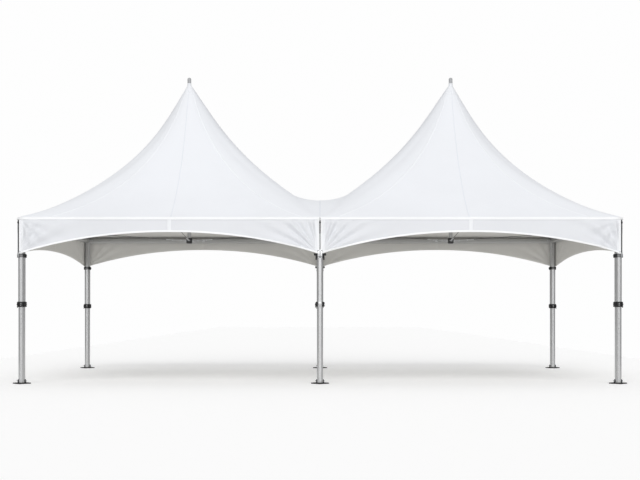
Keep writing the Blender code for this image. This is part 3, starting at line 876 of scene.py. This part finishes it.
def roof_ripple(x, y):
    """Small folds of the roof near the held points, and long soft pulls down from the peaks."""
    edge_y = REACH_Y - abs(y)
    edge_x = REACH_X - abs(x)
    held = smooth_step(min(edge_x, edge_y), 0.015, 0.12)
    joined = smooth_step(abs(x), 0.0, 0.25)
    seed = (1.0 if x > 0 else 2.0) + (4.0 if y > 0 else 0.0)
    ripple = MIDDLE_RISE * fan(abs(x), edge_y, *MIDDLE_FOLDS, seed)
    ripple += EAVE_CORNER_RISE * fan(edge_x, edge_y, *EAVE_CORNER_FOLDS, seed + 8.0)
    centre = math.copysign(HALF_LENGTH / 2, x)
    radius = math.hypot(x - centre, y)
    angle = math.atan2(y, x - centre)
    bay = 3.0 if x > 0 else 7.0
    pulls = noise.noise(Vector((math.cos(angle) * 2.2, math.sin(angle) * 2.2, bay + radius * 0.35)))
    ripple += PEAK_PULLS * pulls * smooth_step(radius, 0.15, 0.9)
    return ripple * held * joined


def roof_height(x, y):
    """The roof's outer face; the two bays' slopes flow together in a saddle between the masts."""
    left = bay_height(x + HALF_LENGTH / 2, y)
    right = bay_height(HALF_LENGTH / 2 - x, y)
    joined = (left ** SADDLE_BLEND + right ** SADDLE_BLEND) ** (1.0 / SADDLE_BLEND)
    radius = math.hypot(abs(x) - HALF_LENGTH / 2, y)
    return EAVE_EDGE + joined + flare(radius) + roof_ripple(x, y)


def flare(radius):
    """How far the cone stands up beside its mast, at a distance from the mast's axis."""
    return PEAK_FLARE * (1.0 - smooth_step(radius, 0.06, FLARE_REACH))


def over_roof(x, y, lift):
    """A point of the roof's face, lifted along its normal."""
    step = 0.004
    fall_x = (roof_height(x + step, y) - roof_height(x - step, y)) / (2 * step)
    fall_y = (roof_height(x, y + step) - roof_height(x, y - step)) / (2 * step)
    normal = Vector((-fall_x, -fall_y, 1.0)).normalized()
    return Vector((x, y, roof_height(x, y))) + normal * lift


def grid(name, columns, loop=False):
    """A mesh from columns of points, each column in the same order; loop joins the last to the first."""
    rows = len(columns[0])
    points = [tuple(point) for column in columns for point in column]
    count = len(columns)
    faces = []
    for column in range(count if loop else count - 1):
        after = (column + 1) % count
        for row in range(rows - 1):
            here = column * rows + row
            beside = after * rows + row
            faces.append((here, here + 1, beside + 1, beside))
    mesh = bpy.data.meshes.new(name)
    mesh.from_pydata(points, [], faces)
    return mesh


def cloth(name, mesh, outer_coats, inner_coats=(), thickness=CLOTH):
    """A skin of fabric with its own thickness; its inner face has coats of its own where they are given."""
    for coat in outer_coats + inner_coats:
        mesh.materials.append(coat)
    mesh.shade_smooth()
    made = piece(name, mesh)
    skin = made.modifiers.new("Skin", "SOLIDIFY")
    skin.thickness = thickness
    skin.offset = -1.0
    skin.use_even_offset = True
    skin.use_quality_normals = True
    skin.material_offset = len(inner_coats)
    return made


def crowded(share, amount=0.65):
    """Shares along a side, closer together towards its ends."""
    return share * (1.0 - amount) + amount * (1.0 - math.cos(math.pi * share)) / 2


def roof_skin():
    """One continuous sheet over both bays, from the necks to the eave."""
    corners = [Vector((-REACH_X, -REACH_Y)), Vector((0, -REACH_Y)),
               Vector((0, REACH_Y)), Vector((-REACH_X, REACH_Y))]
    centre = Vector((-HALF_LENGTH / 2, 0))
    outline = []
    for start, finish in zip(corners, corners[1:] + corners[:1]):
        outline += [start.lerp(finish, crowded(step / SPOKES_PER_SIDE)) for step in range(SPOKES_PER_SIDE)]
    shares = [EDGE_BAND * (number / (RINGS - 1)) ** 1.5 for number in range(RINGS)] + [1.0]
    shape = bmesh.new()
    for side in (1, -1):
        columns = []
        for spoke in outline:
            outward = (spoke - centre).normalized()
            brim = centre + outward * (POLE_RADIUS + 0.002)
            rim = centre + outward * (POLE_RADIUS + 0.004)
            start = centre + outward * (NECK + 0.002)
            column = [(side * brim.x, brim.y, NECK_TOP), (side * rim.x, rim.y, NECK_TOP - 0.045)]
            for share in shares:
                spot = start.lerp(spoke, share)
                column.append((side * spot.x, spot.y, roof_height(side * spot.x, spot.y)))
            columns.append(column)
        if side < 0:
            columns.reverse()
        merge(shape, grid("bay", columns, loop=True))
    bmesh.ops.remove_doubles(shape, verts=shape.verts, dist=0.0001)
    bmesh.ops.recalc_face_normals(shape, faces=shape.faces)
    return mesh_of(shape, "roof_skin")


def seam_tape(path, half_width):
    """Columns of a welded tape that lies on the roof along a path in plan."""
    columns = []
    for number, spot in enumerate(path):
        before = path[max(number - 1, 0)]
        after = path[min(number + 1, len(path) - 1)]
        along = (after - before).normalized()
        across = Vector((-along.y, along.x))
        narrow = half_width * smooth_step((spot - path[0]).length, -0.15, 0.35)
        column = []
        for share, lift in TAPE_PROFILE:
            point = spot + across * narrow * share
            column.append(over_roof(point.x, point.y, lift))
        columns.append(column)
    return columns


def straight(start, finish):
    """A path in plan, closer together near its start."""
    return [start.lerp(finish, share) for share in SEAM_SHARES]


def sweeping(centre, way, end, first, last):
    """A seam's path in plan from a mast to the eave.

    It leaves at one angle and arrives at another, in degrees."""
    length = (REACH_Y - SEAM_END_GAP) / math.sin(math.radians(last))
    path = []
    for share in SEAM_SHARES:
        angle = math.radians(first + (last - first) * share ** 2)
        distance = SEAM_START + (length - SEAM_START) * share
        path.append(centre + Vector((way * math.cos(angle), end * math.sin(angle))) * distance)
    return path


def join_strips(name, strips):
    shape = bmesh.new()
    for columns in strips:
        merge(shape, grid("strip", columns))
    for face in shape.faces:
        face.normal_update()
        if face.normal.z < 0:
            face.normal_flip()
    return mesh_of(shape, name)


def roof_seams():
    """Seams on both sides of each long face, and finer ones down the middles and over the saddle."""
    edge_x = REACH_X - SEAM_END_GAP
    edge_y = REACH_Y - SEAM_END_GAP
    hips = []
    rings = []
    seams = []
    for side in (-1, 1):
        centre = Vector((side * HALF_LENGTH / 2, 0))
        targets = []
        for end in (-1, 1):
            hips.append(seam_tape(sweeping(centre, side, end, 61.0, 51.5), 0.014))
            hips.append(seam_tape(sweeping(centre, -side, end, 55.5, 49.0), 0.014))
            targets.append(Vector((centre.x, end * edge_y)))
        for target in targets + [Vector((side * edge_x, 0)), Vector((side * SEAM_END_GAP, 0))]:
            start = centre + (target - centre).normalized() * SEAM_START
            seams.append(seam_tape(straight(start, target), 0.007))
        ring = []
        for step in range(NECK_SEAM_STEPS + 1):
            angle = math.tau * step / NECK_SEAM_STEPS
            column = []
            for width, lift in NECK_TAPE_PROFILE:
                x = centre.x + (NECK_SEAM + width) * math.cos(angle)
                column.append(over_roof(x, (NECK_SEAM + width) * math.sin(angle), lift))
            ring.append(column)
        rings.append(ring)
    seams.append(seam_tape(straight(Vector((0, -edge_y)), Vector((0, edge_y))), 0.009))
    return join_strips("hip_tapes", hips + rings), join_strips("fine_seams", seams)


def eave_band():
    """Doubled band that rolls over the eave all the way round and hangs in front of the skirt."""
    profile = [(-0.022, 0.022 * EAVE_FALL + 0.0012), (-0.020, 0.020 * EAVE_FALL + 0.0022),
               (-0.012, 0.012 * EAVE_FALL + 0.0022), (-0.005, 0.0046), (-0.001, 0.0024), (0.0016, -0.0006),
               (0.0026, -0.0050), (0.0028, -0.0120), (0.0028, -BAND_DROP + 0.002), (0.0020, -BAND_DROP)]
    corners = [(-1, -1), (1, -1), (1, 1), (-1, 1)]
    columns = []
    for (x, y), (next_x, next_y) in zip(corners, corners[1:] + corners[:1]):
        start = Vector((x * REACH_X, y * REACH_Y, 0))
        finish = Vector((next_x * REACH_X, next_y * REACH_Y, 0))
        for step in range(BAND_STEPS):
            out_x = x if x == next_x or step == 0 else 0
            out_y = y if y == next_y or step == 0 else 0
            along = start.lerp(finish, step / BAND_STEPS)
            columns.append([(along.x + out_x * out, along.y + out_y * out, EAVE_EDGE + up)
                            for out, up in profile])
    columns.reverse()
    return grid("eave_band", columns, loop=True)


def panel_stations(start, finish):
    """Places along a skirt panel: close together near its ends, and at the edges of its hems and strip."""
    middle = (start + finish) / 2
    shares = [crowded(step / SKIRT_STATIONS, 0.8) for step in range(SKIRT_STATIONS + 1)]
    stations = [start + (finish - start) * share for share in shares]
    for mark in (start + END_HEM, finish - END_HEM, middle - CENTRE_STRIP / 2, middle + CENTRE_STRIP / 2):
        stations = [place for place in stations if abs(place - mark) > 0.0045]
        stations += [mark - HEM_RAMP, mark + HEM_RAMP]
    return sorted(stations)


def skirt_panel(name, start, finish, crown_depth, held, seed):
    """A skirt panel along X facing -Y: arched foot, doubled hems, and the folds of its two held ends."""
    top = EAVE_EDGE - 0.0065
    crown = EAVE_EDGE - crown_depth
    tip = CLAMP_TOP + PLAY
    middle = (start + finish) / 2
    half = (finish - start) / 2

    def foot_level(along):
        return crown - (crown - tip) * (abs(along - middle) / half) ** ARCH_POWER

    def doubled(along):
        return min(along - start, finish - along) < END_HEM or abs(along - middle) < CENTRE_STRIP / 2

    columns = []
    for along in panel_stations(start, finish):
        foot = foot_level(along)
        levels = [top + (foot + HEM + HEM_RAMP - top) * (row / SKIRT_ROWS) for row in range(SKIRT_ROWS + 1)]
        levels += [foot + HEM - HEM_RAMP, foot + HEM * 0.5, foot + 0.002, foot]
        from_ends = (along - start, finish - along)
        column = []
        for level in levels:
            lift = 0.0
            for (rise, folds, upper_rise), across in zip(held, from_ends):
                lift += rise * fan(across, level - tip, folds, TIP_FOLD_REACH, seed + folds)
                lift += upper_rise * fan(across, top - level, *UPPER_FOLDS, seed + folds + 5.0)
            billow = noise.noise(Vector((along * 1.3 + seed, level * 2.2, seed * 3.0)))
            lift += BILLOW * (0.5 + 0.5 * billow)
            lift *= smooth_step(top - level, 0.006, 0.085)
            lift *= smooth_step(min(from_ends), 0.015, 0.10)
            if level < foot + HEM or doubled(along):
                lift += DOUBLING
            column.append((along, -lift, level))
        columns.append(column)
    mesh = grid(name, columns)
    for face in mesh.polygons:
        along = face.center.x
        from_end = min(along - start, finish - along)
        if face.center.z < foot_level(along) + HEM or from_end < EDGE_BINDING:
            face.material_index = 1
        elif doubled(along):
            face.material_index = 2
    return mesh


def eyelets(panel, start, finish):
    """Plated rings in the panel's two lower tips."""
    profile = [(0.009, 0.0022), (0.0115, 0.0016), (0.012, 0), (0.012, -0.003), (0.006, -0.003),
               (0.006, 0.001), (0.009, 0.0022)]
    rings = Fitting(ZINC)
    for across in (start + 0.018, finish - 0.018):
        rings.turned(profile, (across, -0.0012, CLAMP_TOP + 0.030), (0, -1, 0), 24)
    return rings.mesh(panel + "_eyelets")


def make_roof():
    roof = roof_skin()
    # The roof's grey inner face is painted shade.
    roof_piece = cloth("roof_skin", roof, (ROOF_FABRIC,), (LINING_PAINTED_SHADE,))
    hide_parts("roof_canopy")
    hips, seams = roof_seams()
    # The eave band's pale hem cloth is partly a painted highlight along the rolled edge.
    trims = [cloth("hip_tapes", hips, (SEAM_FABRIC,), thickness=TAPE),
             cloth("fine_seams", seams, (STITCHED_SEAM,), thickness=TAPE),
             cloth("eave_band", eave_band(), (HEM_AND_HIGHLIGHT_FABRIC,), thickness=BAND)]


def skirt_panels():
    """Name, span, crown's depth, held ends and place of each skirt panel."""
    outer = HALF_LENGTH + CORNER_PANEL_REACH
    panels = []
    for name in ("front_left", "front_right", "back_left", "back_right"):
        side, end = POSTS[name]
        left_hand = side == end
        span = (-outer, -SLOT_HALF) if left_hand else (SLOT_HALF, outer)
        held = (CORNER_FOLDS, POST_FOLDS) if end < 0 else (SLACK_FOLDS, SLACK_FOLDS)
        turn = Matrix.Rotation(0.0 if end < 0 else math.pi, 4, "Z")
        place = turn @ Matrix.Translation((0, -HALF_DEPTH - PANEL_STAND_OFF, 0))
        panels.append((name, span, VALANCE_CROWN, held if left_hand else held[::-1], place))
    outer = HALF_DEPTH + CORNER_PANEL_REACH
    for name, side in (("left", -1), ("right", 1)):
        turn = Matrix.Rotation(side * math.pi / 2, 4, "Z")
        place = turn @ Matrix.Translation((0, -HALF_LENGTH - PANEL_STAND_OFF, 0))
        panels.append((name, (-outer, outer), SIDE_VALANCE_CROWN, (SLACK_FOLDS, SLACK_FOLDS), place))
    return panels


def make_skirts():
    # Skirt panels: the darker outer cloth and the grey inner coats are painted shade; the paler hem cloth
    # is doubled cloth.
    outer_coats = (SKIRT_FABRIC_PAINTED_SHADE, HEM_AND_HIGHLIGHT_FABRIC, DOUBLED_FABRIC)
    inner_coats = (LINING_PAINTED_SHADE, LINING_HEM_PAINTED_SHADE, LINING_HEM_PAINTED_SHADE)
    for number, (name, (start, finish), crown, held, place) in enumerate(skirt_panels()):
        mesh = skirt_panel("skirt_" + name, start, finish, crown, held, number * 1.7 + 0.3)
        mesh.transform(place)
        skirt = cloth("skirt_" + name, mesh, outer_coats, inner_coats)
        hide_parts("valance_" + name)
        rings = piece("eyelets_" + name, eyelets(name, start, finish), place=place)
        finish - start + 0.02


# Floor, light and camera

def lay_floor():
    half_width, front, back = FLOOR_REACH
    mesh = grid("floor", [[(x, front, 0), (x, back, 0)] for x in (half_width, -half_width)])
    floor = in_scene("floor", mesh)
    floor.location.z = -0.0005
    matt = Finish("studio_floor").surface(Base_Color=FLOOR_WHITE, Roughness=1.0, Specular_IOR_Level=0.0,
                                          Emission_Color=(1.0, 1.0, 1.0, 1.0), Emission_Strength=FLOOR_GLOW)
    mesh.materials.append(matt)


def light_scene():
    """White studio: dim all round, brighter overhead, behind and low in front and at the sides, and one
    large soft light high in front."""
    scene = bpy.context.scene
    scene.view_settings.view_transform = "Standard"
    scene.world = bpy.data.worlds.new("studio")
    scene.world.use_nodes = True
    tree = scene.world.node_tree
    room = Finish("studio", tree)
    direction = room.node("TexCoord", {}, {}, "Generated")
    across, depth, height = (room.part_of(direction, axis) for axis in (X, Y, Z))
    overhead = room.between(height, 0.55, 1.0) * OVERHEAD
    behind = room.between(height * 0.71 + depth * 0.71, 0.5, 1.0) * BEHIND
    front_strip = room.between(depth, -0.35, -0.90) * FRONT_STRIP
    side_strips = room.between(across * across, 0.40, 0.95) * SIDE_STRIPS
    low_strips = (front_strip + side_strips) * (1 - room.between(height, 0.02, 0.30))
    lit = overhead + behind + low_strips + ALL_ROUND
    seen = room.node("LightPath", {}, {}, "Is Camera Ray")
    tone = room.blend(seen, room.node("CombineXYZ", {}, {0: lit, 1: lit, 2: lit}), BACKDROP_WHITE)
    room.feed(tree.nodes["Background"].inputs["Color"], tone)
    sun = bpy.data.lights.new("front_light", "SUN")
    sun.energy = FRONT_LIGHT
    sun.angle = FRONT_LIGHT_WIDTH
    in_scene("front_light", sun).rotation_euler.x = FRONT_LIGHT_TILT


def set_camera():
    lens = bpy.data.cameras.new("camera")
    lens.sensor_width = SENSOR
    lens.lens = LENS
    lens.shift_y = HORIZON_SHIFT
    camera = in_scene("camera", lens)
    camera.location = (0, -HALF_DEPTH - CAMERA_TO_FRONT, CAMERA_HEIGHT)
    camera.rotation_euler = (math.pi / 2, 0, 0)
    bpy.context.scene.camera = camera


set_camera()
make_legs()
coat_frame_tubes()
beam_end_bolts()
make_masts()
make_roof()
make_skirts()
lay_floor()
light_scene()
